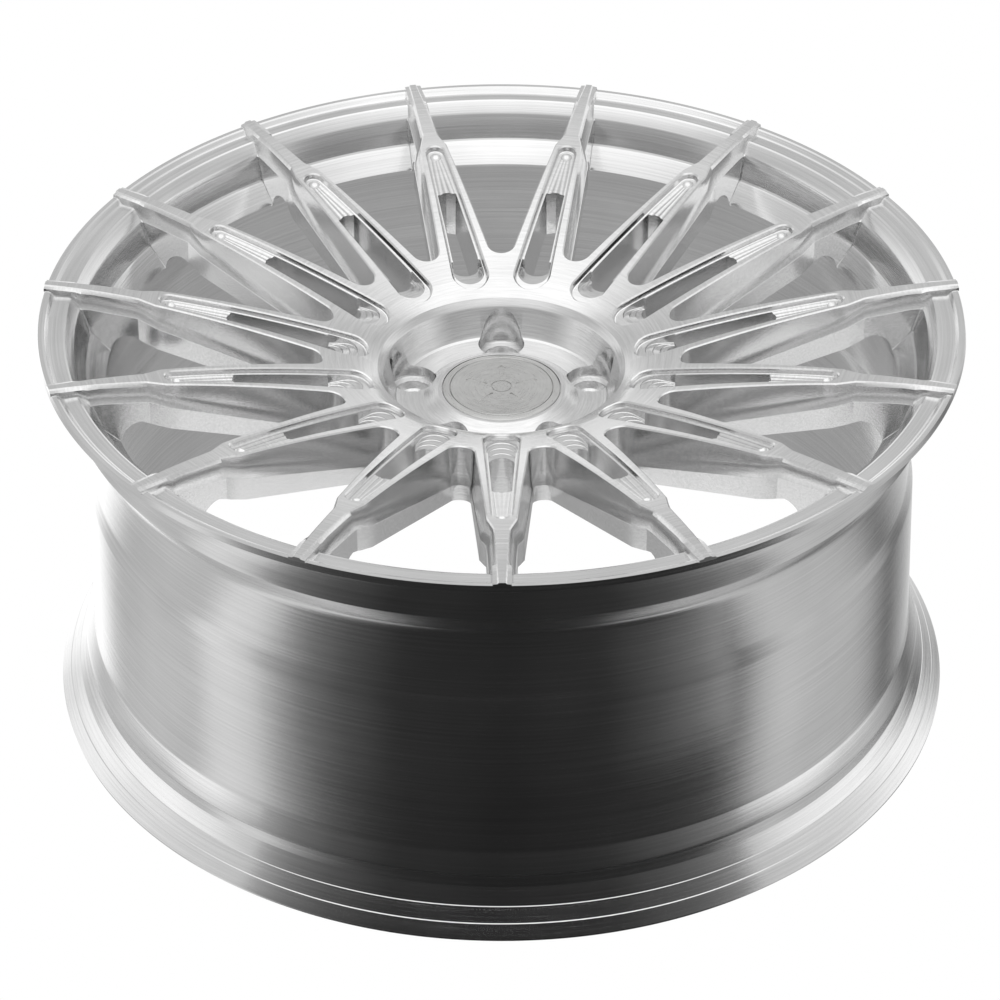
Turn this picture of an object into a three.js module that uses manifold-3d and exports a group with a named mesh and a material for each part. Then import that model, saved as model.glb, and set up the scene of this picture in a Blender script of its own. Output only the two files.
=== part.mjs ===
// A forged monoblock road-racing wheel, 20 x 9J, five holes on a 112 mm circle, offset 45 mm.
//
// Millimetres. +Z is the wheel's axis and points out of its outboard face. The origin is on the
// axis, half way across the wheel's width. Depths are measured down from the outboard face plane,
// which the spoke tips touch, so a depth d is the height faceLevel - d.
//
// The forging's barrel, hub and spokes are separate solids that meet at hairline gaps. The centre
// cap, its badge and spring ring, the spigot ring and the valve's parts are fitted to them.

import * as THREE from 'three';
import { mergeVertices } from 'three/addons/utils/BufferGeometryUtils.js';
import Module from 'manifold-3d';

const wasm = await Module();
wasm.setup();

// ---------------------------------------------------------------- driving dimensions

const flangeRadius = 273.9;      // 20 inch rim: bead seat radius plus a 17.5 mm flange
const beadRadius = 256.4;
const overallWidth = 255.4;      // 9 inches between the flanges, plus both flanges
const wheelOffset = 45;          // mounting pad outboard of the centre line
const spokeCount = 15;
const firstSpokeAngle = 270;     // degrees
const lugCount = 5;
const firstLugAngle = 90;
const lugCircleRadius = 56;
const boreRadius = 33.3;
const hubRadius = 107;           // where the spokes part from the hub
const gap = 0.3;                 // between solids that touch on the real wheel

const faceLevel = overallWidth / 2;
const padDepth = faceLevel - wheelOffset;
const pitch = 360 / spokeCount;
const ringSegments = 60;

// ---------------------------------------------------------------- colours

const aluminium = { color: 0xd9dadb, roughness: 0.28, metalness: 1 };
const brushed = { color: 0xc9cacb, roughness: 0.35, metalness: 1 };
const springSteel = { color: 0x9a9da1, roughness: 0.3, metalness: 1 };
const blackPlastic = { color: 0x202224, roughness: 0.6, metalness: 0 };
const rubber = { color: 0x18191a, roughness: 0.8, metalness: 0 };
const brass = { color: 0xb08d57, roughness: 0.35, metalness: 1 };

// ---------------------------------------------------------------- solids

// A manifold solid from a closed geometry, with its faces turned outward.
function solid(geometry) {
  const bare = geometry.clone();
  bare.deleteAttribute('normal');
  bare.deleteAttribute('uv');
  const merged = mergeVertices(bare, 1e-4);
  const places = merged.attributes.position.array;
  const corners = [];
  let volume = 0;
  for (let i = 0; i < merged.index.count; i += 3) {
    const [a, b, c] = merged.index.array.slice(i, i + 3);
    if (a === b || b === c || c === a) continue;
    corners.push(a, b, c);
    volume += signedVolume(places, a, b, c);
  }
  if (volume < 0) corners.reverse();
  const mesh = new wasm.Mesh({
    numProp: 3,
    vertProperties: new Float32Array(places),
    triVerts: new Uint32Array(corners),
  });
  return new wasm.Manifold(mesh);
}

function signedVolume(places, a, b, c) {
  const [pa, pb, pc] = [a, b, c].map((i) => new THREE.Vector3().fromArray(places, 3 * i));
  return pa.dot(pb.cross(pc));
}

function geometryOf(manifold) {
  const mesh = manifold.getMesh();
  const geometry = new THREE.BufferGeometry();
  geometry.setAttribute('position', new THREE.BufferAttribute(mesh.vertProperties, 3));
  geometry.setIndex(new THREE.BufferAttribute(mesh.triVerts, 1));
  return geometry;
}

// A solid of revolution about Z. Its profile is a list of [radius, height].
function turned(profile, segments = ringSegments) {
  const points = profile.map(([radius, height]) => new THREE.Vector2(radius, height));
  const [start, end] = [profile[0], profile[profile.length - 1]];
  const onAxis = start[0] === 0 && end[0] === 0;
  if (!onAxis) points.push(points[0].clone());
  return solid(new THREE.LatheGeometry(points, segments).rotateX(Math.PI / 2));
}

// An upright prism of a plan outline, between two heights.
function prism(outline, low, high) {
  const shape = new THREE.Shape(outline);
  const geometry = new THREE.ExtrudeGeometry(shape, { depth: high - low, bevelEnabled: false });
  return solid(geometry.translate(0, 0, low));
}

function turnedTo(manifold, degrees) {
  return manifold.rotate([0, 0, degrees]);
}

// Points along a circular arc in plan, from one angle to another in degrees.
function arc(x, y, radius, from, to, steps) {
  const points = [];
  for (let i = 0; i <= steps; i += 1) {
    const angle = THREE.MathUtils.degToRad(from + ((to - from) * i) / steps);
    points.push(new THREE.Vector2(x + radius * Math.cos(angle), y + radius * Math.sin(angle)));
  }
  return points;
}

// A closed outline that is symmetric about X, from its half above X, listed by rising x.
function mirrored(half) {
  const below = half.map((point) => new THREE.Vector2(point.x, -point.y)).reverse();
  return [...half, ...below];
}

// ---------------------------------------------------------------- the face's two surfaces

const crownDrop = 28.6;          // how far the turned face has sunk at crownRoot
const crownRoot = 102;
const crownPower = 1.645;
const backDepthAtLip = 30;
const backSlope = 0.245;
const lipWallRadius = 247;

// Depth of the turned front face, which every spoke and the hub share.
function frontDepth(radius) {
  const reach = Math.max(flangeRadius - radius, 0) / (flangeRadius - crownRoot);
  return crownDrop * reach ** crownPower;
}

// Depth of the spokes' flat-backed underside.
function backDepth(radius) {
  return backDepthAtLip + backSlope * (lipWallRadius - radius);
}

// Radii spread evenly from one to another, both included.
function spread(from, to, steps) {
  return Array.from({ length: steps + 1 }, (_, i) => from + ((to - from) * i) / steps);
}

const at = (radius, depth) => [radius, faceLevel - depth];

// ---------------------------------------------------------------- barrel and lip

// The lip's inner side, from the flange's flat ring in and down to the back of the spokes.
const lipSteps = [
  [270, 2.5],
  [267, 5.5],
  [258, 5.5],
  [252, 11.8],
  [lipWallRadius, backDepthAtLip],
];

function barrelSolid() {
  const outside = [
    [flangeRadius, 2.5],
    [flangeRadius, 6.5],
    [260, 10.5],
    [beadRadius, 17],
    [beadRadius, 34],
    [beadRadius + 1, 37],
    [246.5, 52],
    [245.5, 57],
    [245.5, 97],
    [248.5, 108],
    [251.5, 203],
    [beadRadius + 1, 217],
    [beadRadius, 221],
    [beadRadius, 238],
    [260, 243],
    [270, 246],
    [flangeRadius, 249],
    [flangeRadius, 252.4],
    [271, overallWidth],
  ];
  const inside = [
    [264, overallWidth],
    [260, 249],
    [250.5, 242],
    [250.5, 217],
    [246, 205],
    [243, 110],
    [240.3, 99],
    [240.3, 50],
    [244, 33],
  ];
  const profile = [...outside, ...inside, ...[...lipSteps].reverse()];
  return turned(profile.map(([radius, depth]) => at(radius, depth)));
}

// ---------------------------------------------------------------- spokes and their slots

const slot = { inner: 80.2, outer: 205, innerHalf: 10.8, outerHalf: 5.8, depth: 4 };
const slotWindow = { inner: 99.6, outer: 165.3, innerHalf: 8, outerHalf: 5.8 };
const valley = { radius: 8.5, x: hubRadius + 8.5, endAngle: 276 };
const shoulder = { x: 206, half: 9.5 };    // where the spoke starts to narrow
const neck = { x: 217, half: 6.6 };        // where it has become the thin outer bar
const tipHalf = 3.4;
const slotMargin = 4;                      // the slot's floor is cut this far past its ends
const above = 20;                          // how far cutters stand clear of the faces

// Half of a spoke's plan above X: round the valley it shares with its neighbour, then out to
// the tip.
function spokeHalfOutline() {
  const halfPitch = THREE.MathUtils.degToRad(pitch / 2);
  const centre = new THREE.Vector2(valley.x, 0).rotateAround(new THREE.Vector2(), halfPitch);
  const root = arc(centre.x, centre.y, valley.radius, 180 + pitch / 2, valley.endAngle, 3);
  return [
    new THREE.Vector2(hubRadius - valley.radius, centre.y),
    ...root,
    new THREE.Vector2(shoulder.x, shoulder.half),
    new THREE.Vector2(neck.x, neck.half),
    new THREE.Vector2(flangeRadius + 1, tipHalf),
  ];
}

// A slot that tapers outward, with both ends rounded.
function taperedOutline({ inner, outer, innerHalf, outerHalf }) {
  const round = arc(inner + innerHalf, 0, innerHalf, 180, 90, 3);
  const nose = arc(outer - outerHalf, 0, outerHalf, 90, 0, 3);
  const outline = mirrored([...round, ...nose]);
  return outline.filter((point, i) => !point.equals(outline[(i + 1) % outline.length]));
}

// The band between the front face and the same face sunk by the slot's depth.
function slotBand() {
  const radii = spread(slot.inner - slotMargin, slot.outer + slotMargin, 3);
  const floor = radii.map((radius) => at(radius, frontDepth(radius) + slot.depth));
  const [start, end] = [radii[0], radii[radii.length - 1]];
  return turned([...floor, at(end, -above), at(start, -above)]);
}

function slotCutter() {
  const pocket = prism(taperedOutline(slot), 0, faceLevel + above).intersect(slotBand());
  const opening = prism(taperedOutline(slotWindow), 0, faceLevel + above);
  return pocket.add(opening);
}

// The turned blank that the spokes are cut from. Its outer end clears the lip's steps.
function spokeBlank() {
  const start = hubRadius + gap;
  const front = spread(start, flangeRadius, 5).map((radius) => at(radius, frontDepth(radius)));
  const lip = lipSteps.map(([radius, depth]) => at(radius - gap, depth - gap));
  const back = at(start, backDepth(start));
  return turned([...front, at(flangeRadius, 2.5 - gap), ...lip, back]);
}

function spokeSolid() {
  const half = spokeHalfOutline();
  const plan = prism(mirrored(half), 0, faceLevel + above);
  return plan.intersect(spokeBlank()).subtract(slotCutter());
}

// ---------------------------------------------------------------- hub

const faceBreak = 84;            // inside this radius the face falls more steeply to the dish
const dish = { rim: 73.9, rimDepth: 39.2, edge: 70.3, edgeDepth: 43.4, floor: 63, floorDepth: 61.5 };
const boss = { foot: 46, top: 37.6, topDepth: 55.8, seatRadius: 35.7, seatDepth: 58 };
const lug = { pocketRadius: 14, pocketDepth: 69.6, seatRadius: 10.5, holeRadius: 7.25, seatHeight: 5 };
const padRadius = 74;
const padShoulder = 6;           // the pad's side runs up and out to the spokes' backs

function hubBlank() {
  const front = spread(hubRadius, faceBreak, 2).map((radius) => at(radius, frontDepth(radius)));
  return turned([
    at(hubRadius, backDepth(hubRadius)),
    ...front,
    at(dish.rim, dish.rimDepth),
    at(dish.edge, dish.edgeDepth),
    at(dish.floor, dish.floorDepth),
    at(boss.foot, dish.floorDepth),
    at(boss.top, boss.topDepth),
    at(boss.seatRadius, boss.topDepth),
    at(boss.seatRadius, boss.seatDepth),
    at(boreRadius, boss.seatDepth),
    at(boreRadius, padDepth),
    at(padRadius, padDepth),
    at(padRadius + padShoulder, backDepth(hubRadius) + padShoulder),
  ]);
}

// A lug's pocket, its conical seat and its hole, as one cutter.
function lugCutter() {
  const seatFoot = lug.pocketDepth + lug.seatHeight;
  const profile = [
    [0, padDepth + above],
    [lug.holeRadius, padDepth + above],
    [lug.holeRadius, seatFoot],
    [lug.seatRadius, lug.pocketDepth],
    [lug.pocketRadius, lug.pocketDepth],
    [lug.pocketRadius, -above],
    [0, -above],
  ];
  return turned(profile.map(([radius, depth]) => at(radius, depth)), 20);
}

function hubSolid() {
  let body = hubBlank();
  for (let i = 0; i < spokeCount; i += 1) {
    body = body.subtract(turnedTo(slotCutter(), firstSpokeAngle + i * pitch));
  }
  for (let i = 0; i < lugCount; i += 1) {
    const cutter = lugCutter().translate([lugCircleRadius, 0, 0]);
    body = body.subtract(turnedTo(cutter, firstLugAngle + (i * 360) / lugCount));
  }
  return body;
}

// ---------------------------------------------------------------- centre cap and spigot ring

const cap = { radius: 35.3, topDepth: 55.2, thickness: 2.5, web: 0.6, badgeRadius: 31, badgeSink: 1.2 };
const skirt = { outer: 31.6, inner: 29.4, grooveDepth: 66, end: 70, claws: 6 };
const slit = { width: 7, depth: 8 };
const ringWire = 1.1;
const capSegments = 36;

// The cap: a shallow tray for the badge over a skirt that is slit into claws.
function capSolid() {
  const rimFoot = cap.topDepth + cap.thickness;
  const body = turned([
    [0, cap.topDepth + cap.badgeSink],
    [cap.badgeRadius, cap.topDepth + cap.badgeSink],
    [cap.badgeRadius, cap.topDepth],
    [cap.radius - 0.5, cap.topDepth],
    [cap.radius, cap.topDepth + 0.5],
    [cap.radius, rimFoot],
    [skirt.outer, rimFoot],
    [skirt.outer, skirt.end],
    [skirt.inner, skirt.end],
    [skirt.inner, rimFoot + cap.web],
    [0, rimFoot + cap.web],
  ].map(([radius, depth]) => at(radius, depth)), capSegments);
  return body.subtract(slitCutter());
}

// Bars across the skirt's lower end, one for each pair of opposite slits.
function slitCutter() {
  const bar = new THREE.BoxGeometry(3 * skirt.outer, slit.width, 2 * slit.depth);
  const across = solid(bar.translate(0, 0, faceLevel - skirt.end));
  let cutter = across;
  for (let i = 1; i < skirt.claws / 2; i += 1) {
    cutter = cutter.add(turnedTo(across, (i * 360) / skirt.claws));
  }
  return cutter;
}

function badgeSolid() {
  const radius = cap.badgeRadius - gap;
  const foot = cap.topDepth + cap.badgeSink - gap;
  return turned([[0, cap.topDepth], [radius, cap.topDepth], [radius, foot], [0, foot]]
    .map(([r, depth]) => at(r, depth)), capSegments);
}

// A ring of round wire inside the claws, which presses them out against the bore.
function springRingSolid() {
  const wire = arc(skirt.inner - gap - ringWire, faceLevel - skirt.grooveDepth, ringWire, 0, 300, 5);
  return turned(wire.map((point) => [point.x, point.y]), capSegments);
}

function spigotRingSolid() {
  const spigot = { outer: boreRadius - gap, inner: 28.55, height: 9 };
  return turned([
    [spigot.inner + 1, padDepth],
    [spigot.outer, padDepth],
    [spigot.outer, padDepth - spigot.height],
    [spigot.inner, padDepth - spigot.height],
    [spigot.inner, padDepth - 1],
  ].map(([radius, depth]) => at(radius, depth)), capSegments);
}

// ---------------------------------------------------------------- valve

// The valve's own frame: +Z runs along its stem, out of the barrel towards the wheel's axis, and
// zero is the barrel's inner wall. Heights below zero are in the wall and the tyre space.
const valve = { angle: 186, wallRadius: 240.3, depth: 52, tilt: 15 };
const valvePad = { radius: 10, height: 3.2 };
const valveHole = 5.7;
const spotRadius = 9.5;
const stem = { head: 8, headHeight: 3, shank: 4, bore: 1.7, boreFoot: 8, end: 34, edge: 0.6 };
const grommet = { radius: 8.4, height: 3 };
const nut = { acrossFlats: 12, height: 6 };
const washer = { radius: 8, height: 1 };
const corePin = { foot: 10, tipRadius: 0.8, tipLength: 6.2, sunk: 0.8 };
const dustCap = { radius: 5.2, height: 13, headroom: 0.8, topWall: 1.7, edge: 1 };

function valvePlacement() {
  const matrix = new THREE.Matrix4().makeRotationZ(THREE.MathUtils.degToRad(valve.angle));
  matrix.multiply(new THREE.Matrix4().makeTranslation(valve.wallRadius, 0, faceLevel - valve.depth));
  return matrix.multiply(new THREE.Matrix4().makeRotationY(THREE.MathUtils.degToRad(valve.tilt - 90)));
}

function seated(manifold) {
  return manifold.transform(valvePlacement().elements);
}

const padTop = valvePad.height;         // the nut's side
const sealSeat = -4;                    // the grommet's side, a spot face in the tyre space

const through = 30;                     // cutters run this far past the barrel's wall

// The valve hole, with a raised pad inside the barrel and a spot face in the tyre space.
function withValveHole(barrel) {
  const { radius, height } = valvePad;
  const raised = turned([[0, -height], [radius, -height], [radius, height], [0, height]], 24);
  const hole = turned([[0, -through], [valveHole, -through], [valveHole, through], [0, through]], 24);
  const face = turned([[0, -through], [spotRadius, -through], [spotRadius, sealSeat], [0, sealSeat]], 24);
  return barrel.add(seated(raised)).subtract(seated(hole)).subtract(seated(face));
}

function stemSolid() {
  const seat = sealSeat - gap - grommet.height - gap;
  return turned([
    [0, seat - stem.headHeight],
    [stem.head, seat - stem.headHeight],
    [stem.head, seat],
    [stem.shank, seat],
    [stem.shank, stem.end - stem.edge],
    [stem.shank - stem.edge, stem.end],
    [stem.bore, stem.end],
    [stem.bore, stem.boreFoot],
    [0, stem.boreFoot],
  ], 20);
}

function grommetSolid() {
  const top = sealSeat - gap;
  const low = top - grommet.height;
  const hole = stem.shank + gap;
  return turned([[hole, low], [grommet.radius, low], [grommet.radius, top], [hole, top]], 20);
}

function washerSolid() {
  const low = padTop + gap;
  const hole = stem.shank + gap;
  return turned([
    [hole, low],
    [washer.radius, low],
    [washer.radius, low + washer.height],
    [hole, low + washer.height],
  ], 20);
}

const nutFoot = padTop + washer.height + 2 * gap;

function nutSolid() {
  const corner = nut.acrossFlats / Math.sqrt(3);
  const hexagon = solid(new THREE.CylinderGeometry(corner, corner, nut.height, 6)
    .rotateX(Math.PI / 2).translate(0, 0, nutFoot + nut.height / 2));
  const hole = stem.shank + gap;
  return hexagon.subtract(turned([[0, 0], [hole, 0], [hole, through], [0, through]], 20));
}

// The core's pin stands in the stem's bore, just short of its end.
function corePinSolid() {
  const radius = stem.bore - gap;
  const end = stem.end - corePin.sunk;
  const step = end - corePin.tipLength;
  return turned([
    [0, corePin.foot],
    [radius, corePin.foot],
    [radius, step - (radius - corePin.tipRadius)],
    [corePin.tipRadius, step],
    [corePin.tipRadius, end],
    [0, end],
  ], 12);
}

function dustCapSolid() {
  const ceiling = stem.end + dustCap.headroom;
  const top = ceiling + dustCap.topWall;
  const foot = top - dustCap.height;
  const hollow = stem.shank + gap;
  return turned([
    [hollow, foot],
    [dustCap.radius, foot],
    [dustCap.radius, top - dustCap.edge],
    [dustCap.radius - dustCap.edge, top],
    [0, top],
    [0, ceiling],
    [hollow, ceiling],
  ], 20);
}

// ---------------------------------------------------------------- assembly

const group = new THREE.Group();

function addPart(name, manifold, finish) {
  const material = new THREE.MeshStandardMaterial(finish);
  const mesh = new THREE.Mesh(geometryOf(manifold), material);
  mesh.name = name;
  group.add(mesh);
  return mesh;
}

addPart('barrel', withValveHole(barrelSolid()), brushed);
addPart('hub', hubSolid(), aluminium);

const spoke = spokeSolid();
for (let i = 0; i < spokeCount; i += 1) {
  const mesh = addPart(`spoke_${String(i + 1).padStart(2, '0')}`, spoke, aluminium);
  mesh.rotation.z = THREE.MathUtils.degToRad(firstSpokeAngle + i * pitch);
}

addPart('centre_cap', capSolid(), brushed);
addPart('cap_badge', badgeSolid(), brushed);
addPart('cap_spring_ring', springRingSolid(), springSteel);
addPart('spigot_ring', spigotRingSolid(), blackPlastic);

addPart('valve_stem', seated(stemSolid()), aluminium);
addPart('valve_grommet', seated(grommetSolid()), rubber);
addPart('valve_washer', seated(washerSolid()), aluminium);
addPart('valve_nut', seated(nutSolid()), aluminium);
addPart('valve_core_pin', seated(corePinSolid()), brass);
addPart('valve_dust_cap', seated(dustCapSolid()), brushed);

export default group;
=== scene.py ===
import math

import bmesh
import bpy
from mathutils import Matrix, Vector


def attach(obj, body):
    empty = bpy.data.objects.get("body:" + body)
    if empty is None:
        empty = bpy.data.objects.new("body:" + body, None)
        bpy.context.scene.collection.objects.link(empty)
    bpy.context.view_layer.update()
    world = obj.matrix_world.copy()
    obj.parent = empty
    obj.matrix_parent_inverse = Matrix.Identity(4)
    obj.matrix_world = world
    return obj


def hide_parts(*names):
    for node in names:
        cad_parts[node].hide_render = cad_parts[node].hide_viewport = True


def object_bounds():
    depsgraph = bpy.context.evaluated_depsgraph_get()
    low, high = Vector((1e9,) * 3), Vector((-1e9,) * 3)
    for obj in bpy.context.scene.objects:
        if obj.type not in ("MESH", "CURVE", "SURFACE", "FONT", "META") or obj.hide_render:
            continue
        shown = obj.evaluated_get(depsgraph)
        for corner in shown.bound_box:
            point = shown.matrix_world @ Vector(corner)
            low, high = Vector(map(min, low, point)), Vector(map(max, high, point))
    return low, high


# A forged fifteen-spoke wheel rim, lying on its inboard flange on a white studio floor.
#
# Shapes are worked out in millimetres and scaled to metres at the end. +Z is the wheel's axis. A
# depth is measured down from the outboard face plane, which the spoke tips touch. Angles are in
# degrees, turned from +X towards +Y.

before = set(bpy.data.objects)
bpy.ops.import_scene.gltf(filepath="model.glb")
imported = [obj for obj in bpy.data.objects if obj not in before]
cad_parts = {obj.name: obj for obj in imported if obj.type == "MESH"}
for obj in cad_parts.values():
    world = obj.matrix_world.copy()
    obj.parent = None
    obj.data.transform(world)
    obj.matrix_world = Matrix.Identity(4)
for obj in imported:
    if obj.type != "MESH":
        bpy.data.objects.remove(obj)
cad_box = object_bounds()

MM = 0.001

# ---------------------------------------------------------------- driving dimensions

FACE = 1000 * cad_box[1][2]     # height of the outboard face plane
WIDTH = 2 * FACE
TIP = 273.9                     # radius of the spoke tips and of the flanges
SPOKES = 15
PITCH = 360 / SPOKES
FIRST_SPOKE = 270
RIDGE = 73.9                    # radius of the dish's rim
BREAK = 84                      # inside this radius the face falls away more steeply
LUGS = 5
FIRST_LUG = 90
SPLIT = 104                     # where the hub piece hands over to the spoke pieces
SMOOTH_BELOW = math.radians(16)  # edges flatter than this are shaded smooth
CHAMFER = 0.8                   # on every milled edge of the face
ABOVE = 6                       # cutters stand this far clear of the face plane


def between(points, x):
    """A piecewise linear function through sorted (x, y) points."""
    if x <= points[0][0]:
        return points[0][1]
    for (x0, y0), (x1, y1) in zip(points, points[1:]):
        if x <= x1:
            return y0 + (y1 - y0) * (x - x0) / (x1 - x0)
    return points[-1][1]


def front_depth(radius):
    """Depth of the turned face that the hub and all spokes share."""
    if radius < BREAK:
        return between([(RIDGE, 39.2), (BREAK, front_depth(BREAK))], radius)
    return 28.56 * (max(TIP - radius, 0) / 171.9) ** 1.645


def front_normal(point):
    radius = math.hypot(point.x, point.y)
    step = 0.05
    slope = (front_depth(radius - step) - front_depth(radius + step)) / (2 * step)
    return Vector((-slope * point.x / radius, -slope * point.y / radius, 1)).normalized()


def back_depth(radius):
    """Depth of the underside of the spokes."""
    return 28.5 + 0.3 * max(226 - radius, 0)


def edge_depth(radius):
    """Depth where a spoke's filleted upper flank ends in a crisp edge."""
    line = [(107, 54), (218, 16), (246, 12.6), (252, 12.6), (258, 6.4), (267.3, 6.4), (270.3, 3.4)]
    return between(line, radius)


# ---------------------------------------------------------------- mesh tools

def make(name, bm):
    """An object in the scene from a bmesh, with its faces turned outward."""
    bmesh.ops.recalc_face_normals(bm, faces=bm.faces)
    mesh = bpy.data.meshes.new(name)
    bm.to_mesh(mesh)
    bm.free()
    piece = bpy.data.objects.new(name, mesh)
    bpy.context.scene.collection.objects.link(piece)
    return piece


def revolve(name, outline, first=0.0, sweep=360.0, step=1.0):
    """A solid of revolution about Z from a closed outline of (radius, depth)."""
    bm = bmesh.new()
    count = round(sweep / step)
    whole = sweep == 360
    rings = []
    for i in range(count if whole else count + 1):
        angle = math.radians(first + i * step)
        across = [(radius * math.cos(angle), radius * math.sin(angle)) for radius, _ in outline]
        rings.append([bm.verts.new((x, y, FACE - d)) for (x, y), (_, d) in zip(across, outline)])
    for a, b in zip(rings, rings[1:] + (rings[:1] if whole else [])):
        for k in range(len(outline)):
            j = (k + 1) % len(outline)
            bm.faces.new((a[k], a[j], b[j], b[k]))
    if not whole:
        bm.faces.new(rings[0])
        bm.faces.new(rings[-1])
    bmesh.ops.remove_doubles(bm, verts=bm.verts, dist=1e-4)
    return make(name, bm)


def loft(name, rings):
    """A solid through closed rings that are symmetric about a line through their first point."""
    bm = bmesh.new()
    loops = [[bm.verts.new(point) for point in ring] for ring in rings]
    count = len(loops[0])
    for low, high in zip(loops, loops[1:]):
        for k in range(count):
            j = (k + 1) % count
            bm.faces.new((low[k], low[j], high[j], high[k]))
    for loop in (loops[0], loops[-1]):
        for k in range(count // 2):
            corners = [loop[k], loop[k + 1], loop[-k - 1], loop[-k % count]]
            bm.faces.new(list(dict.fromkeys(corners)))
    return make(name, bm)


def mirrored(half):
    """A closed ring from its half above X, whose first and last points lie on X."""
    return half + [(x, -y) for x, y in reversed(half[1:-1])]


def arc(x, y, radius, start, end, steps):
    angles = [math.radians(start + (end - start) * i / steps) for i in range(steps + 1)]
    return [(x + radius * math.cos(a), y + radius * math.sin(a)) for a in angles]


def spread(start, end, steps):
    return [start + (end - start) * i / steps for i in range(steps + 1)]


def turned(points, degrees):
    a = math.radians(degrees)
    return [(x * math.cos(a) - y * math.sin(a), x * math.sin(a) + y * math.cos(a)) for x, y in points]


def eased(outline, size=0.5):
    """A closed outline of (radius, depth) with each corner replaced by a small bevel."""
    points = [Vector(point) for point in outline]
    result = []
    for before, here, after in zip(points[-1:] + points[:-1], points, points[1:] + points[:1]):
        if here.x < 1e-6 or (before - here).angle(after - here) > math.radians(172):
            result.append(tuple(here))
            continue
        for other in (before, after):
            reach = min(size, 0.4 * (other - here).length)
            result.append(tuple(here + (other - here).normalized() * reach))
    return result


def joined(name, pieces):
    """One mesh object that holds several objects' meshes, which are removed."""
    bm = bmesh.new()
    for piece in pieces:
        bm.from_mesh(piece.data)
        discard(piece)
    return make(name, bm)


def discard(piece):
    mesh = piece.data
    bpy.data.objects.remove(piece)
    bpy.data.meshes.remove(mesh)


def combine(piece, other, operation="DIFFERENCE"):
    """Applies a boolean of a piece with another object, which is removed."""
    modifier = piece.modifiers.new("combine", "BOOLEAN")
    modifier.operation = operation
    modifier.solver = "MANIFOLD"
    modifier.object = other
    seen = piece.evaluated_get(bpy.context.evaluated_depsgraph_get())
    mesh = bpy.data.meshes.new_from_object(seen)
    mesh.name = piece.name
    old = piece.data
    piece.modifiers.clear()
    piece.data = mesh
    bpy.data.meshes.remove(old)
    discard(other)
    return piece


def copies(piece, angles):
    """Copies of a piece's mesh, each turned about Z; the piece itself is removed."""
    result = []
    for angle in angles:
        twin = piece.copy()
        twin.data = piece.data.copy()
        twin.data.transform(Matrix.Rotation(math.radians(angle), 4, "Z"))
        bpy.context.scene.collection.objects.link(twin)
        result.append(twin)
    discard(piece)
    return result


# ---------------------------------------------------------------- cutters

VALLEY_RADIUS = 8.5
VALLEY_X = 115.5                # its centre, on the line half way between two spokes
SHOULDER = Vector((206, -8.5))  # where a spoke starts to narrow
HALF_WIDTHS = [(206, 8.5), (217, 4.8), (TIP, 2.6), (290, 2.3)]  # of a spoke's face, by radius
DRAFTS = [(250, 1.0), (258, 2.2), (272, 2.4)]  # how far a flank has spread, by radius
FLARES = [(118, 1.0), (190, 2.8)]   # how far the foot of a spoke's flank sweeps out, by radius
FLARE_HEIGHT = 9
LEDGE = 0.3                     # the step outside it
LIP_CORNER = 3.0                # radius in plan, where a lower wall meets the lip
BAR_ENDS = [251.5, 254.8, 258, 262.5, 267.3, 270.3, 285]


def flare_height(radius):
    return min(FLARE_HEIGHT, 0.9 * (edge_depth(radius) - front_depth(radius) - CHAMFER))


def flare(radius):
    return between(FLARES, radius) * flare_height(radius) / FLARE_HEIGHT


def spoke_side(inset):
    """The side of a spoke that faces the window clockwise of it, from the valley's bottom outward.

    The spoke lies along X. inset is how far the window has shrunk, as a function of x.
    """
    valley = Vector(turned([(VALLEY_X, 0)], -PITCH / 2)[0])
    reach = SHOULDER - valley
    lean = math.atan2(reach.y, reach.x) - math.asin(VALLEY_RADIUS / reach.length)
    root = arc(*valley, VALLEY_RADIUS - inset(110), 180 - PITCH / 2, 90 + math.degrees(lean), 8)
    shoulder = (SHOULDER.x, SHOULDER.y - inset(SHOULDER.x))
    edge = list(zip(spread(root[-1][0], shoulder[0], 12), spread(root[-1][1], shoulder[1], 12)))
    bar = [(x, -between(HALF_WIDTHS, x) - inset(x)) for x in (217, 224, 231, 238, 245)]
    return root + edge[1:] + bar


def open_end(inset):
    """The end of a window ring that runs out over the lip, beside the bar."""
    ends = [(x, -between(HALF_WIDTHS, x) - inset(x)) for x in BAR_ENDS]
    return ends + rim_arc(ends[-1])


def closed_end(inset, lip):
    """The end of a window ring that stops at the lip's wall, with a rounded corner."""
    low = -between(HALF_WIDTHS, 248) - inset(248) - LIP_CORNER
    centre = math.sqrt((lip - LIP_CORNER) ** 2 - low ** 2)
    toward_lip = math.degrees(math.atan2(low, centre))
    corner = arc(centre, low, LIP_CORNER, 90, toward_lip, len(BAR_ENDS) - 1)
    return corner + rim_arc(corner[-1])


def rim_arc(start, steps=6):
    """Points round the wheel's axis from a point to the window's centre line."""
    radius = math.hypot(*start)
    angle = math.degrees(math.atan2(start[1], start[0]))
    return arc(0, 0, radius, angle, -PITCH / 2, steps)[1:]


def window_level(inset, depth, lip=None):
    """One ring of a window cutter, in the window's own frame."""
    end = open_end(inset) if lip is None else closed_end(inset, lip)
    ring = mirrored(turned(spoke_side(inset) + end, PITCH / 2))
    return [(x, y, FACE - depth(math.hypot(x, y))) for x, y in ring]


def flank_level(share):
    """The window's ring at one share of the way down the flanks' concave foot."""
    return window_level(
        lambda x: between(DRAFTS, x) + share ** 2 * flare(x),
        lambda r: edge_depth(r) - (1 - share) * flare_height(r),
    )


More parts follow.
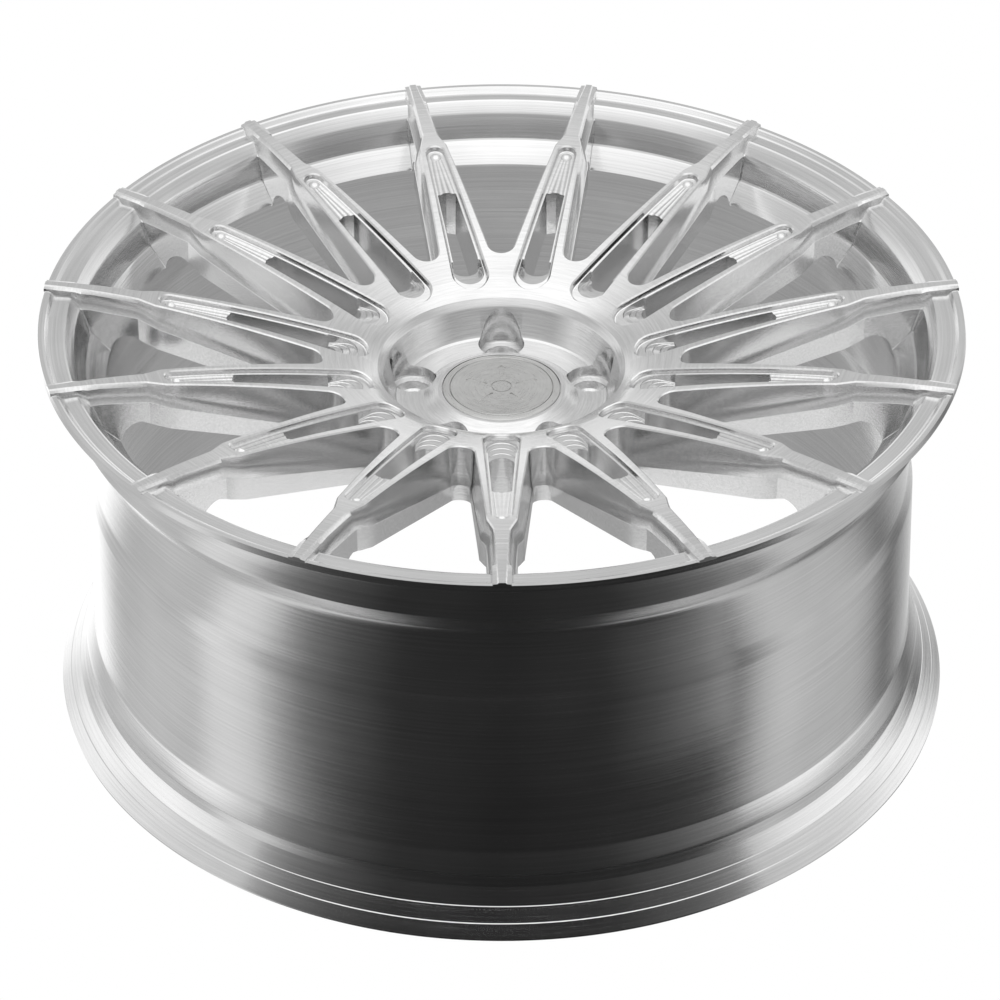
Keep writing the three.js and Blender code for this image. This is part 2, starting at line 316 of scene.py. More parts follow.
def window_cutter():
    """The space between two spokes: open over the lip above, closed by the lip's walls below."""
    def lower(x):
        return between(DRAFTS, 0) + flare(x) + LEDGE

    levels = [
        window_level(lambda x: -CHAMFER - 2, lambda r: -ABOVE),
        window_level(lambda x: -CHAMFER - 2, lambda r: front_depth(r) - 2),
        window_level(lambda x: 0, lambda r: front_depth(r) + CHAMFER),
    ]
    levels += [flank_level(share) for share in spread(0, 1, 6)]
    levels += [
        window_level(lower, edge_depth, 252.8),
        window_level(lower, lambda r: max(28.4, edge_depth(r) + 2), 247.8),
        window_level(lower, lambda r: max(41.2, back_depth(r) + 4), 235.2),
        window_level(lower, lambda r: 100, 235.2),
    ]
    return loft("window", levels)


SLOT = {"inner": 80.2, "outer": 205.0, "inner_half": 10.8, "outer_half": 5.8}
OPENING = {"inner": 99.6, "outer": 165.3, "inner_half": 8.0, "outer_half": 5.8}
TERRACES = [(86.5, 9.4, 37.4), (91.0, 8.9, 38.1), (95.3, 8.4, 38.8)]  # radius, half width, depth
TERRACES_END = 108
FLOOR = 3.6                     # the pocket's floor, below the turned face
PASS = {"start": 163, "start_pitch": 3.6, "end": 198, "end_pitch": 1.5, "radius": 3.0, "sink": 0.4}
NOSE = {"x": 198.2, "radius": 4.4, "rise": 2.6}


def slot_outline(shape, inset=0.0, square=False):
    """A tapered slot's ring along X, from its inner end outward, with a round or a faceted nose."""
    inner = shape["inner"] + inset
    outer = shape["outer"] - inset
    inner_half = shape["inner_half"] - inset
    outer_half = shape["outer_half"] - inset
    heel = arc(inner + inner_half, 0, inner_half, 180, 90, 8)[1:]
    nose = arc(outer - outer_half, 0, outer_half, 90, 0, 6)
    if square:
        heights = [outer_half * share for share in (0.94, 0.7, 0.36, 0.3, 0.1, 0)]
        nose = [(outer - 2.4, outer_half)] + [(outer - 0.35 * y, y) for y in heights]
    side = list(zip(spread(heel[-1][0], nose[0][0], 10), spread(heel[-1][1], nose[0][1], 10)))
    return mirrored([(inner, 0)] + heel + side[1:-1] + nose)


def slot_level(shape, depth, inset=0.0, square=False):
    outline = slot_outline(shape, inset, square)
    return [(x, y, FACE - depth(math.hypot(x, y))) for x, y in outline]


def slot_cutters():
    """The shallow pocket, the opening through it and the terraces at its hub end."""
    pocket = loft("pocket", [
        slot_level(SLOT, lambda r: -ABOVE, -CHAMFER - 2),
        slot_level(SLOT, lambda r: front_depth(r) - 2, -CHAMFER - 2),
        slot_level(SLOT, lambda r: front_depth(r) + CHAMFER),
        slot_level(SLOT, lambda r: front_depth(r) + FLOOR - 0.9, 0.3),
        slot_level(SLOT, lambda r: front_depth(r) + FLOOR - 0.25, 0.6),
        slot_level(SLOT, lambda r: front_depth(r) + FLOOR, 1.2),
    ])
    opening = loft("opening", [
        slot_level(OPENING, lambda r: front_depth(r) + FLOOR - 0.5, 0, True),
        slot_level(OPENING, lambda r: 100, 0.2, True),
    ])
    cutters = [pocket, opening]
    for inner, half, depth in TERRACES:
        shape = {"inner": inner, "outer": TERRACES_END, "inner_half": half, "outer_half": half - 0.4}
        cutters.append(loft("terrace", [
            slot_level(shape, lambda r: front_depth(r) + FLOOR - 0.5, -0.1, True),
            slot_level(shape, lambda r: depth - 0.3, 0, True),
            slot_level(shape, lambda r: depth, 0.4, True),
        ]))
    return cutters


def pass_cutters():
    """Three shallow passes of a ball-nosed tool, which leave two ridges on the pocket's floor."""
    cutters = []
    radius = PASS["radius"]
    rise = radius - PASS["sink"] - FLOOR
    for lane in (-1, 0, 1):
        bm = bmesh.new()
        start, end = (
            Vector((PASS[place], PASS[place + "_pitch"] * lane, FACE - front_depth(PASS[place]) + rise))
            for place in ("start", "end")
        )
        turn = (end - start).to_track_quat("Z", "X").to_matrix().to_4x4()
        place = Matrix.Translation((start + end) / 2) @ turn
        bmesh.ops.create_cone(bm, cap_ends=True, segments=40, radius1=radius, radius2=radius,
                              depth=(end - start).length, matrix=place)
        cutters.append(make("pass", bm))
    return cutters


def nose_cutter():
    """The ball-nosed recess at a slot's outer end."""
    bm = bmesh.new()
    height = FACE - front_depth(NOSE["x"]) - FLOOR + NOSE["rise"]
    place = Matrix.Translation((NOSE["x"], 0, height))
    bmesh.ops.create_uvsphere(bm, u_segments=32, v_segments=20, radius=NOSE["radius"], matrix=place)
    return make("nose", bm)


LUG_CIRCLE = 56


def lug_cutter():
    """A lug hole with its conical seat, at the foot of a socket pocket."""
    outline = [
        (0, 90), (7.25, 90), (7.25, 75.2), (8.6, 74.0), (10.5, 70.4), (10.5, 69.8), (11.2, 69.6),
        (13.0, 69.2), (13.7, 68.4), (14, 67.4), (14, 20), (0, 20),
    ]
    cutter = revolve("lug", outline, step=7.5)
    cutter.data.transform(Matrix.Translation((LUG_CIRCLE, 0, 0)))
    return cutter


def around(cutter, count, first):
    return joined(cutter.name, copies(cutter, [first + 360 * i / count for i in range(count)]))


# ---------------------------------------------------------------- the wheel's pieces

LIP = [  # the lip's turned profile inside the spoke tips, as (radius, depth)
    (TIP, 2.5), (270, 2.5), (267, 5.5), (258, 5.5), (252, 11.8), (247, 28), (245.5, 29), (235, 40.5),
]


def spoke_blank():
    """A turned wedge under the face, over the lip and above the spokes' underside."""
    front = [(radius, front_depth(radius)) for radius in spread(SPLIT, TIP, 30)]
    # The wedge reaches a little way into the lip, so that no gap shows where they meet.
    lip = [(min(radius + 0.25, TIP), depth + 0.3) for radius, depth in LIP]
    root = arc(222.5, 41, 12.5, 0, 90, 6)
    underside = [(radius, 82 - depth) for radius, depth in root]
    back = [(radius, back_depth(radius)) for radius in spread(215, SPLIT, 6)]
    outline = front + lip + underside[1:] + back
    return revolve("spoke", outline, -PITCH / 2, PITCH)


def spoke_shape():
    blank = spoke_blank()
    window = window_cutter()
    sides = copies(window, (-PITCH / 2, PITCH / 2))
    combine(blank, joined("windows", sides))
    for cutter in slot_cutters() + pass_cutters() + [nose_cutter()]:
        combine(blank, cutter)
    return blank


def hub_shape():
    """The dished hub: turned, then cut by the windows, the slots and the lug holes."""
    face = [(radius, front_depth(radius)) for radius in spread(SPLIT, BREAK, 5) + [74.6]]
    dish = [
        (RIDGE, 39.3), (73.2, 40.2), (70.7, 42.9), (70.1, 43.9), (64.0, 59.2), (63.0, 60.6), (61.4, 61.3),
        (59.5, 61.5), (48.5, 61.5), (46.4, 61.2), (44.6, 60.3), (38.9, 56.4), (38.2, 55.95), (37.4, 55.8),
        (35.9, 55.8), (35.7, 56.0), (35.7, 58), (34.2, 58), (33.3, 58.9),
    ]
    back = [
        (33.3, 81.7), (34.3, 82.7), (73.2, 82.7), (74, 81.9), (75.4, 75.2), (78.6, 72.0), (84, 70.6),
    ]
    outline = face + dish + back + [(SPLIT, back_depth(SPLIT))]
    hub = revolve("hub", outline)
    combine(hub, around(window_cutter(), SPOKES, FIRST_SPOKE + PITCH / 2))
    for cutter in slot_cutters():
        combine(hub, around(cutter, SPOKES, FIRST_SPOKE))
    return combine(hub, around(lug_cutter(), LUGS, FIRST_LUG))


def rim_shape():
    """The barrel with both flanges and the lip, turned in one piece."""
    outside = [
        (TIP, 6.2), (273.2, 6.9), (262, 9.6), (258.6, 12.2), (257.2, 16.4), (256.4, 20), (256.4, 31),
        (257.2, 36), (257.2, 37.4), (247.2, 51.6), (245.9, 55), (245.5, 59), (245.5, 96),
        (246, 99), (248, 106), (248.6, 109), (251.4, 202), (252.2, 207), (256.9, 217), (257.4, 219),
        (256.4, 221.4), (256.4, 229), (257.6, 231), (262, 238.5), (262.4, 238.8), (268.0, 246.2),
        (268.5, 246.5), (272.8, 252), (TIP, 253.4), (TIP, 254.4), (273.4, 255), (272.4, WIDTH),
    ]
    inside = [
        (264.6, WIDTH), (263.4, 254.9), (261.6, 250.6), (259.4, 248.4), (252.8, 243.6), (251, 241),
        (250.5, 238), (250.5, 221), (249.6, 216), (246.6, 208), (246, 203), (243.2, 112),
        (242.4, 106), (240.6, 100),
        (240.3, 97), (240.3, 62), (238.6, 52), (235.6, 42.6),
    ]
    lip = eased(LIP[::-1] + [(TIP, 20), (200, 20)], 0.7)[1:-5]
    return revolve("barrel", outside + inside + lip)


def is_front(polygon, mesh):
    """Whether a face lies on the turned front surface."""
    inner_edge, tolerance, steepest = RIDGE + 0.5, 0.06, 0.9
    if polygon.normal.z < steepest:
        return False
    for index in polygon.vertices:
        point = mesh.vertices[index].co
        radius = math.hypot(point.x, point.y)
        if radius < inner_edge or abs(FACE - point.z - front_depth(radius)) > tolerance:
            return False
    return True


def shade(piece):
    """Smooth shading between close faces, and the exact normal all over the turned front."""
    mesh = piece.data
    mesh.shade_smooth()
    mesh.set_sharp_from_angle(angle=SMOOTH_BELOW)
    normals = [corner.vector.copy() for corner in mesh.corner_normals]
    for polygon in mesh.polygons:
        front = is_front(polygon, mesh)
        polygon.material_index = 0 if front else 1
        if front:
            for index in polygon.loop_indices:
                point = mesh.vertices[mesh.loops[index].vertex_index].co
                normals[index] = front_normal(point)
    mesh.normals_split_custom_set(normals)


def settle(piece, name, body, nodes, materials):
    piece.name = name
    piece.data.name = name
    piece.data.transform(Matrix.Scale(MM, 4))
    piece.data.materials.clear()
    for material in materials:
        piece.data.materials.append(material)
    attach(piece, body)
    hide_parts(*nodes)
    return piece


# ---------------------------------------------------------------- materials

class Nodes:
    """A short way to build a node tree."""

    def __init__(self, tree):
        self.tree = tree
        tree.nodes.clear()

    def add(self, kind, inputs=None, **settings):
        node = self.tree.nodes.new(kind)
        for key, value in settings.items():
            setattr(node, key, value)
        for key, value in (inputs or {}).items():
            if isinstance(value, bpy.types.NodeSocket):
                self.tree.links.new(value, node.inputs[key])
            else:
                node.inputs[key].default_value = value
        return node

    def math(self, operation, *values):
        node = self.add("ShaderNodeMath", operation=operation)
        for socket, value in zip(node.inputs, values):
            if isinstance(value, bpy.types.NodeSocket):
                self.tree.links.new(value, socket)
            else:
                socket.default_value = value
        return node.outputs[0]


def mixed(nodes, factor, first, second):
    node = nodes.add("ShaderNodeMix", {"Factor": factor}, data_type="RGBA")
    for name, value in (("A", first), ("B", second)):
        socket = next(s for s in node.inputs if s.name == name and s.type == "RGBA")
        nodes.tree.links.new(value, socket)
    return next(s for s in node.outputs if s.type == "RGBA")


def lathe_coordinates(nodes, across, along):
    """Object coordinates as (radius, angle, height), scaled so that noise draws tool lines."""
    place = nodes.add("ShaderNodeTexCoord").outputs["Object"]
    split = nodes.add("ShaderNodeSeparateXYZ", {0: place}).outputs
    radius = nodes.math("SQRT", nodes.math("ADD", nodes.math("MULTIPLY", split[0], split[0]),
                                           nodes.math("MULTIPLY", split[1], split[1])))
    angle = nodes.math("ARCTAN2", split[1], split[0])
    return nodes.add("ShaderNodeCombineXYZ", {
        0: nodes.math("MULTIPLY", radius, across),
        1: nodes.math("MULTIPLY", angle, along),
        2: nodes.math("MULTIPLY", split[2], across),
    }).outputs[0], place


def machined(name, color, roughness, lines, across, along, grain, anisotropy=0.0):
    """Bare aluminium with tool lines round the wheel's axis and a fine grain.

    lines and grain are bump strengths; across and along set how fine and how long the lines are.
    """
    material = bpy.data.materials.new(name)
    material.use_nodes = True
    nodes = Nodes(material.node_tree)
    around_axis, place = lathe_coordinates(nodes, across, along)
    streaks = nodes.add("ShaderNodeTexNoise", {"Vector": around_axis, "Scale": 1.0, "Detail": 5.0,
                                               "Roughness": 0.7})
    speckle = nodes.add("ShaderNodeTexNoise", {"Vector": place, "Scale": 800.0, "Detail": 3.0})
    clouds = nodes.add("ShaderNodeTexNoise", {"Vector": place, "Scale": 14.0, "Detail": 3.0})
    first = nodes.add("ShaderNodeBump", {"Height": streaks.outputs[0], "Strength": lines,
                                         "Distance": 0.0002})
    bump = nodes.add("ShaderNodeBump", {"Height": speckle.outputs[0], "Strength": grain,
                                        "Distance": 0.0005, "Normal": first.outputs[0]})
    drift = nodes.math("ADD", nodes.math("MULTIPLY", streaks.outputs[0], 0.6),
                       nodes.math("MULTIPLY", clouds.outputs[0], 0.4))
    sparkle = nodes.math("MULTIPLY", nodes.math("SUBTRACT", speckle.outputs[0], 0.5), grain)
    wander = nodes.math("ADD", drift, sparkle)
    rough = nodes.add("ShaderNodeMapRange", {"Value": wander, "From Min": 0.35, "From Max": 0.65,
                                             "To Min": roughness * 0.75, "To Max": roughness * 1.3})
    tint = nodes.add("ShaderNodeMapRange", {"Value": wander, "From Min": 0.35, "From Max": 0.65})
    dark = nodes.add("ShaderNodeRGB").outputs[0]
    dark.default_value = tuple(0.8 * c for c in color) + (1,)
    light = nodes.add("ShaderNodeRGB").outputs[0]
    light.default_value = color + (1,)
    shader = nodes.add("ShaderNodeBsdfPrincipled", {
        "Base Color": mixed(nodes, tint.outputs[0], dark, light), "Metallic": 1.0,
        "Roughness": rough.outputs[0], "Normal": bump.outputs[0], "Anisotropic": anisotropy,
    })
    if anisotropy:
        tangent = nodes.add("ShaderNodeTangent", direction_type="RADIAL", axis="Z")
        material.node_tree.links.new(tangent.outputs[0], shader.inputs["Tangent"])
    nodes.add("ShaderNodeOutputMaterial", {"Surface": shader.outputs[0]})
    return material


def moulded(name, color, roughness, grain):
    """Plastic or rubber with a fine moulded grain."""
    material = bpy.data.materials.new(name)
    material.use_nodes = True
    nodes = Nodes(material.node_tree)
    place = nodes.add("ShaderNodeTexCoord").outputs["Object"]
    speckle = nodes.add("ShaderNodeTexNoise", {"Vector": place, "Scale": 2500.0, "Detail": 2.0})
    bump = nodes.add("ShaderNodeBump", {"Height": speckle.outputs[0], "Strength": grain,
                                        "Distance": 0.0001})
    rough = nodes.add("ShaderNodeMapRange", {"Value": speckle.outputs[0], "To Min": roughness - 0.08,
                                             "To Max": roughness + 0.08})
    shader = nodes.add("ShaderNodeBsdfPrincipled", {
        "Base Color": color + (1,), "Roughness": rough.outputs[0], "Normal": bump.outputs[0],
    })
    nodes.add("ShaderNodeOutputMaterial", {"Surface": shader.outputs[0]})
    return material


ALUMINIUM = (0.88, 0.88, 0.88)

turned_face = machined("turned_face", ALUMINIUM, 0.16, 0.3, 900, 3, 0.01, 0.2)
milled = machined("milled", ALUMINIUM, 0.11, 0.08, 500, 60, 0.6)
turned_barrel = machined("turned_barrel", ALUMINIUM, 0.15, 0.4, 700, 1.2, 0.01, 0.2)
cap_metal = machined("cap_metal", (0.70, 0.70, 0.69), 0.3, 0.03, 900, 3, 0.03)
spring_steel = machined("spring_steel", (0.55, 0.55, 0.56), 0.25, 0.05, 900, 3, 0.03)
valve_metal = machined("valve_metal", (0.72, 0.72, 0.73), 0.22, 0.05, 900, 3, 0.05)
brass = machined("brass", (0.78, 0.58, 0.28), 0.25, 0.05, 900, 3, 0.05)
black_plastic = moulded("black_plastic", (0.02, 0.02, 0.022), 0.5, 0.3)
rubber = moulded("rubber", (0.015, 0.015, 0.016), 0.7, 0.4)


# ---------------------------------------------------------------- building

def build_wheel():
    barrel = with_valve_seat(rim_shape())
    shade(barrel)
    metals = [turned_barrel, turned_barrel]
    settle(barrel, "barrel_turned", "wheel", ["barrel"], metals)
    hub = hub_shape()
    shade(hub)
    settle(hub, "hub_milled", "wheel", ["hub"], [turned_face, milled])
    angles = [FIRST_SPOKE + PITCH * i for i in range(SPOKES)]
    for number, spoke in enumerate(copies(spoke_shape(), angles), start=1):
        shade(spoke)
        name = f"spoke_{number:02d}"
        settle(spoke, name + "_milled", "wheel", [name], [turned_face, milled])


def box_bars(name, length, width, height, depth, count):
    """Bars across the wheel's axis, turned evenly through half a turn."""
    bars = []
    for i in range(count):
        bm = bmesh.new()
        turn = Matrix.Rotation(math.pi * i / count, 4, "Z")
        place = turn @ Matrix.Translation((0, 0, FACE - depth))
        bmesh.ops.create_cube(bm, size=1, matrix=place @ Matrix.Diagonal((length, width, height, 1)))
        bars.append(make(name, bm))
    return bars


def smooth(piece):
    piece.data.shade_smooth()
    piece.data.set_sharp_from_angle(angle=math.radians(28))


def small(piece, name, body, node, slot, material):
    smooth(piece)
    settle(piece, name, body, [node], [material])


BADGE_RADIUS = 31
MARK_ARMS = 5


def badge_mark():
    """A plain engraved mark: five tapered arms round a ring."""
    ring = revolve("mark", [(5.2, 54), (6.6, 54), (6.1, 55.65), (5.7, 55.65)], step=6)
    bm = bmesh.new()
    for depth, spread_out in ((54, 0.5), (55.65, 0)):
        corners = [(9, -0.5), (21, -1.9), (22.5, 0), (21, 1.9), (9, 0.5)]
        for x, y in corners:
            bm.verts.new((x, y * (1 + spread_out), FACE - depth))
    bmesh.ops.convex_hull(bm, input=bm.verts)
    return [ring, around(make("arm", bm), MARK_ARMS, FIRST_LUG)]


def build_cap():
    """The push-in cap with its badge and spring ring, and the spigot ring behind it."""
    outline = [
        (0, 56.4), (BADGE_RADIUS, 56.4), (BADGE_RADIUS, 55.5), (31.3, 55.2), (31.8, 55.2), (34.8, 55.75),
        (35.3, 56.2), (35.3, 57.5), (35.1, 57.7), (32.0, 57.7), (31.6, 58.1), (31.6, 65.2),
        (30.9, 66), (30.9, 67), (31.6, 67.8), (31.4, 69.4), (30.8, 70), (29.7, 70), (29.4, 69.7),
        (29.4, 58.6), (29.1, 58.3), (0, 58.3),
    ]
    cap = revolve("cap", outline)
    for bar in box_bars("slit", length=95, width=7, height=16, depth=70, count=3):
        combine(cap, bar)
    small(cap, "cap_body", "cap", "centre_cap", "cap_metal", cap_metal)
    badge = revolve("badge", [(0, 55.2), (30.4, 55.2), (30.7, 55.5), (30.7, 56.1), (0, 56.1)])
    for cutter in badge_mark():
        combine(badge, cutter)
    small(badge, "cap_badge_plate", "cap", "cap_badge", "cap_metal", cap_metal)
    wire = arc(28.0, 66, 1.1, 0, 330, 11)
    ring = revolve("ring", wire, first=5, sweep=350, step=2)
    small(ring, "cap_spring_wire", "cap", "cap_spring_ring", "spring_steel", spring_steel)
    spigot = eased([(29.55, 82.7), (33.0, 82.7), (33.0, 73.7), (28.55, 73.7), (28.55, 81.7)], 0.4)
    bush = revolve("spigot", spigot)
    small(bush, "spigot_moulding", "wheel", "spigot_ring", "black_plastic", black_plastic)


# The valve's parts stand in their own frame: +Z runs out along the stem from the barrel's inner
# wall, and their outlines are of (radius, height).
VALVE_PLACE = (
    Matrix.Rotation(math.radians(186), 4, "Z")
    @ Matrix.Translation((240.3, 0, FACE - 52))
    @ Matrix.Rotation(math.radians(15 - 90), 4, "Y")
)


def spun(name, outline, step=5):
    return revolve(name, [(radius, FACE - height) for radius, height in outline], step=step)


def threads(radius, start, end, pitch=0.9, deep=0.35):
    """The zigzag side of a threaded rod, from one height to another."""
    count = round((end - start) / pitch)
    points = []
    for i in range(count):
        foot = start + (end - start) * i / count
        points += [(radius - deep, foot), (radius, foot + pitch / 2)]
    return points + [(radius - deep, end)]


def hex_nut(foot, height, across_flats, hole):
    """A hexagonal nut with chamfered corners and a bore; hole is the bore's radius."""
    bm = bmesh.new()
    radius = across_flats / math.sqrt(3)
    place = Matrix.Translation((0, 0, foot + height / 2))
    bmesh.ops.create_cone(bm, cap_ends=True, segments=6, radius1=radius, radius2=radius, depth=height,
                          matrix=place)
    nut = make("nut", bm)
    flat = across_flats / 2 * 0.96
    rounded = [(0, foot), (flat, foot), (radius, foot + 0.9), (radius, foot + height - 0.9),
               (flat, foot + height), (0, foot + height)]
    combine(nut, spun("chamfers", rounded), "INTERSECT")
    bore = [(0, foot - 1), (hole + 0.5, foot - 1), (hole, foot + 0.5), (hole, foot + height - 0.5),
            (hole + 0.5, foot + height + 1), (0, foot + height + 1)]
    return combine(nut, spun("bore", bore))


def dust_cap():
    """A hollow cap with a collar and a fluted grip."""
    outline = [(4.3, 23.5), (4.9, 23.5), (5.2, 23.9), (5.2, 25.0), (4.8, 25.3), (4.8, 25.7), (5.2, 26.0),
               (5.2, 35.2), (4.9, 35.9), (4.2, 36.4), (0, 36.5), (0, 34.8), (4.3, 34.8)]
    cap = spun("dust_cap", outline)
    groove = spun("groove", [(0, 26.6), (0.32, 26.6), (0.32, 40), (0, 40)], 30)
    groove.data.transform(Matrix.Translation((5.3, 0, 0)))
    return combine(cap, around(groove, 30, 0))


def build_valve():
    stem_outline = (
        [(0, -10.6), (6.6, -10.6), (7.6, -10.2), (8, -9.4), (8, -7.9), (7.7, -7.6), (4, -7.6), (4, 3)]
        + threads(4, 4, 33) + [(3.4, 34), (1.9, 34), (1.7, 33.8), (1.7, 8), (0, 8)]
    )
    pin = [(0, 10), (1.4, 10), (1.4, 26.4), (0.8, 27), (0.8, 32.8), (0.5, 33.2), (0, 33.2)]
    washer = eased([(4.3, 3.5), (8, 3.5), (8, 4.5), (4.3, 4.5)], 0.25)
    grommet = eased([(4.3, -7.3), (8.4, -7.3), (8.4, -4.3), (4.3, -4.3)], 0.6)
    parts = [
        (spun("stem", stem_outline), "stem_threaded", "wheel", "valve_stem", "valve_metal", valve_metal),
        (spun("pin", pin), "core_pin", "valve_pin", "valve_core_pin", "brass", brass),
        (spun("washer", washer), "washer", "wheel", "valve_washer", "valve_metal", valve_metal),
        (spun("grommet", grommet), "grommet", "wheel", "valve_grommet", "rubber", rubber),
        (hex_nut(foot=4.8, height=6, across_flats=12, hole=4.3),
         "nut", "wheel", "valve_nut", "valve_metal", valve_metal),
        (dust_cap(), "dust_cap_knurled", "valve_cap", "valve_dust_cap", "valve_metal", valve_metal),
    ]
    for piece, *rest in parts:
        piece.data.transform(VALVE_PLACE)
        small(piece, *rest)


def with_valve_seat(barrel):
    """The barrel with the valve's raised pad, its hole and a spot face in the tyre space."""
    pad = spun("pad", [(0, -3.2), (10, -3.2), (10, 2.7), (9.5, 3.2), (0, 3.2)])
    hole = spun("hole", [(0, -30), (5.7, -30), (5.7, 2.7), (6.2, 3.3), (6.2, 9), (0, 9)])
    face = spun("spot_face", [(0, -30), (9.5, -30), (9.5, -4.2), (9.3, -4), (0, -4)])
    for tool, operation in ((pad, "UNION"), (hole, "DIFFERENCE"), (face, "DIFFERENCE")):
        tool.data.transform(VALVE_PLACE)
        combine(barrel, tool, operation)
    return barrel


build_wheel()
build_cap()
build_valve()


# ---------------------------------------------------------------- studio

WORLD_STRENGTH = 0.89
FLOOR_RADIUS = 40.0
CARD_RADIUS = 0.249
FLAG_RADIUS = 0.43
FLAG_TOP = 0.05

# Brightness over the two cards that the metal reflects, as (place, brightness) pairs.
# The card under the wheel dims from in front of the axis to behind it. This is painted shade that stands
# for the floor shaded under the hub, as the barrel's inner wall reflects it.
FLOOR_CARD = [  # under the wheel, by millimetres from the axis away from the camera
    (-240, 1.15), (-140, 1.00), (-80, 0.50), (10, 0.40), (240, 0.38),
]
FLAG = [  # by azimuth from straight ahead of the camera's side, turning left
    (-45, 0.30), (-38, 0.16), (-30, 0.08), (-20, 0.03), (0, 0.02), (20, 0.03), (30, 0.08), (38, 0.18),
    (45, 0.40),
]

# How bright the studio is in each direction, as (degrees, brightness) pairs.
LOW = [  # below the horizon, by azimuth from straight ahead of the camera's side, turning left
    (-180, 1.10), (-160, 0.80), (-148, 0.55), (-130, 0.15), (-116, 0.50), (-107, 0.60), (-90, 0.60),
    (-82, 0.68), (-75, 0.66), (-69, 0.40), (-63, 0.13), (-56, 0.06), (-40, 0.03), (0, 0.02), (28, 0.03),
    (38, 0.05), (44, 0.08), (50, 0.13), (56, 0.25), (62, 0.42), (68, 0.78), (76, 0.92), (83, 0.92),
    (90, 0.62), (107, 0.68), (127, 0.60), (134, 0.80), (141, 1.25), (148, 1.40), (180, 1.40),
]
HIGH = [  # by elevation
    (-10, 1.30), (4, 1.30), (10, 1.05), (18, 0.86), (24, 0.74), (31, 0.66), (38, 0.74), (46, 0.88),
    (54, 1.15), (62, 1.40), (90, 1.40),
]
FRONT = [  # by elevation, on the camera's side
    (-10, 0.02), (0, 0.15), (12, 0.42), (30, 0.70), (60, 1.40), (90, 1.40),
]


def brightness(nodes, value, pairs):
    """A grey that follows (value, brightness) pairs."""
    start, end = pairs[0][0], pairs[-1][0]
    place = nodes.add("ShaderNodeMapRange", {"Value": value, "From Min": start, "From Max": end})
    ramp = nodes.add("ShaderNodeValToRGB", {"Fac": place.outputs[0]})
    stops = ramp.color_ramp.elements
    stops.remove(stops[1])
    for number, (here, grey) in enumerate(pairs):
        position = (here - start) / (end - start)
        stop = stops.new(position) if number else stops[0]
        stop.position = position
        stop.color = (grey, grey, grey, 1)
    return ramp.outputs[0]


def stage_card(name, bm, pairs, value):
    """A glowing card that lights nothing; value(nodes, x, y) is what its brightness pairs follow."""
    card = make(name, bm)
    material = bpy.data.materials.new(name)
    material.use_nodes = True
    nodes = Nodes(material.node_tree)
    place = nodes.add("ShaderNodeTexCoord").outputs["Object"]
    split = nodes.add("ShaderNodeSeparateXYZ", {0: place}).outputs
    color = brightness(nodes, value(nodes, split[0], split[1]), pairs)
    light = nodes.add("ShaderNodeEmission", {"Color": color, "Strength": 1.0})
    nodes.add("ShaderNodeOutputMaterial", {"Surface": light.outputs[0]})
    card.data.materials.append(material)
    card.visible_diffuse = False
    card.visible_shadow = False
    return card


def disc_mesh(radius):
    bm = bmesh.new()
    bmesh.ops.create_circle(bm, cap_ends=True, segments=96, radius=radius)
    return bm


def millimetres_back(nodes, _, y):
    return nodes.math("MULTIPLY", y, 1 / MM)


def add_floor():
    """White to the camera; the wheel's metal sees only a card inside the barrel's foot."""
    floor = stage_card("studio_floor", disc_mesh(FLOOR_RADIUS), [(-1, 1.0), (1, 1.0)], millimetres_back)
    floor.visible_glossy = False
    floor.location.z = cad_box[0][2] - 0.5 * MM
    # A glowing card, seen only in the metal's reflections, that stands for the lit floor inside the
    # barrel. Its dimmer part behind the axis is painted shade under the hub.
    card = stage_card("card_under_wheel", disc_mesh(CARD_RADIUS), FLOOR_CARD, millimetres_back)
    card.visible_camera = False
    card.location.z = cad_box[0][2] - 0.4 * MM


def azimuth_node(nodes, x, y):
    """Degrees round the wheel's axis from straight ahead of the camera's side, turning left."""
    turn = nodes.math("ARCTAN2", nodes.math("MULTIPLY", x, -1), nodes.math("MULTIPLY", y, -1))
    return nodes.math("MULTIPLY", turn, 180 / math.pi)


def add_flag():
    """A dark card that stands low in front of the wheel."""
    bm = bmesh.new()
    feet = arc(0, 0, FLAG_RADIUS, FIRST_SPOKE + FLAG[0][0], FIRST_SPOKE + FLAG[-1][0], 30)
    rows = [[bm.verts.new((x, y, z)) for x, y in feet] for z in (cad_box[0][2], FLAG_TOP)]
    for k in range(len(feet) - 1):
        bm.faces.new((rows[0][k], rows[0][k + 1], rows[1][k + 1], rows[1][k]))
    stage_card("dark_flag", bm, FLAG, azimuth_node).visible_camera = False


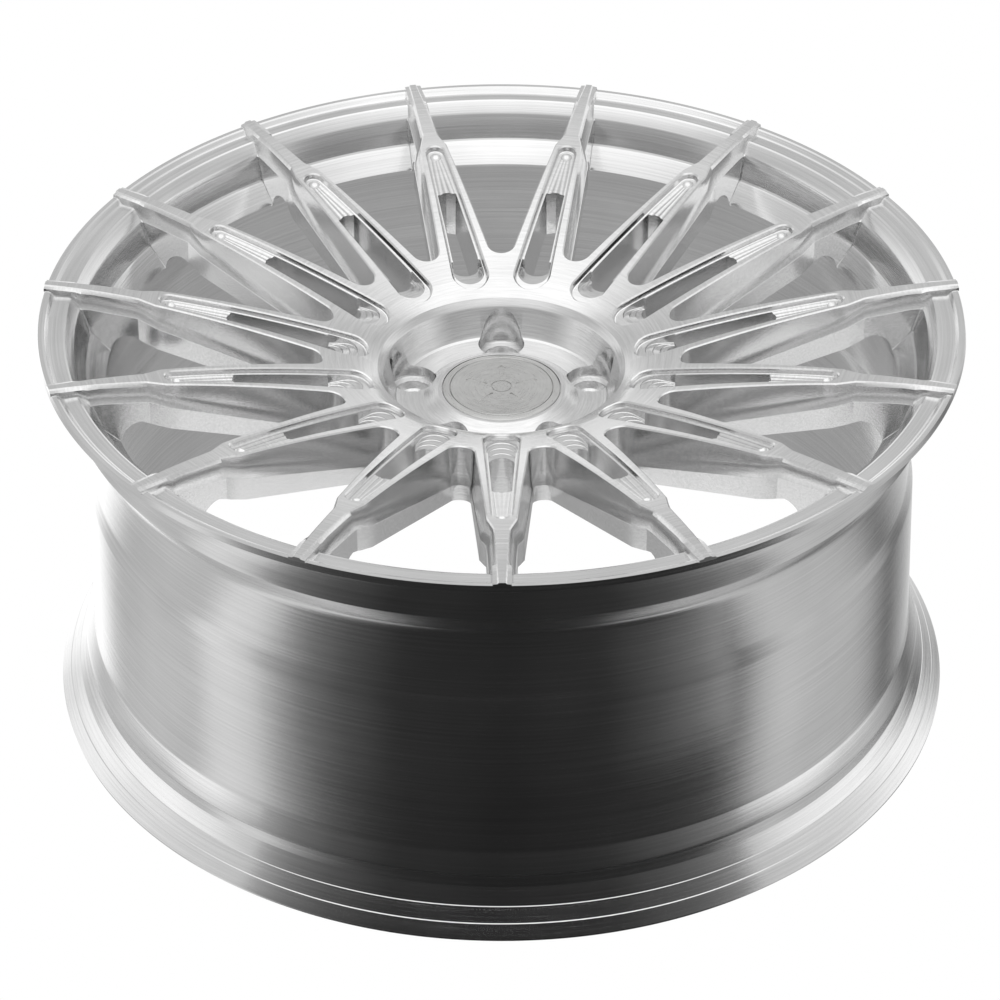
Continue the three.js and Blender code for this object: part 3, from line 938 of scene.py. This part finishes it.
def add_world():
    """Bright all round and overhead, dark low down on the camera's side."""
    world = bpy.data.worlds.new("studio")
    bpy.context.scene.world = world
    world.use_nodes = True
    nodes = Nodes(world.node_tree)
    way = nodes.add("ShaderNodeTexCoord").outputs["Generated"]
    split = nodes.add("ShaderNodeSeparateXYZ", {0: way}).outputs
    azimuth = azimuth_node(nodes, split[0], split[1])
    elevation = nodes.math("MULTIPLY", nodes.math("ARCSINE", split[2]), 180 / math.pi)
    ahead = nodes.add("ShaderNodeMapRange", {"Value": nodes.math("ABSOLUTE", azimuth),
                                             "From Min": 75, "From Max": 50}).outputs[0]
    low = nodes.add("ShaderNodeMapRange", {"Value": elevation, "From Min": 0, "From Max": -12}).outputs[0]
    high = mixed(nodes, ahead, brightness(nodes, elevation, HIGH), brightness(nodes, elevation, FRONT))
    color = mixed(nodes, low, high, brightness(nodes, azimuth, LOW))
    light = nodes.add("ShaderNodeBackground", {"Color": color, "Strength": WORLD_STRENGTH})
    nodes.add("ShaderNodeOutputWorld", {"Surface": light.outputs[0]})


def add_camera():
    """The photograph's viewpoint: above and in front, with a long lens.

    It stands at azimuth and climb as seen from the middle of the outboard face, and looks down by pitch.
    """
    azimuth, climb, pitch = map(math.radians, (-0.0855, 32.498, 35.204))
    distance = 2.4017
    side, ahead = math.sin(azimuth), -math.cos(azimuth)
    place = Vector((side * math.cos(climb), ahead * math.cos(climb), math.sin(climb))) * distance
    back = Vector((side * math.cos(pitch), ahead * math.cos(pitch), math.sin(pitch)))
    right = Vector((math.cos(azimuth), math.sin(azimuth), 0))
    camera = bpy.data.objects.new("camera", bpy.data.cameras.new("camera"))
    camera.data.sensor_width = 36
    camera.data.lens = 146.07
    camera.data.shift_x = -0.00145
    turn = Matrix((right, back.cross(right), back)).transposed().to_4x4()
    camera.matrix_world = Matrix.Translation(place + Vector((0, 0, FACE * MM))) @ turn
    bpy.context.scene.collection.objects.link(camera)
    bpy.context.scene.camera = camera


add_floor()
add_flag()
add_world()
add_camera()
bpy.context.scene.view_settings.view_transform = "Standard"
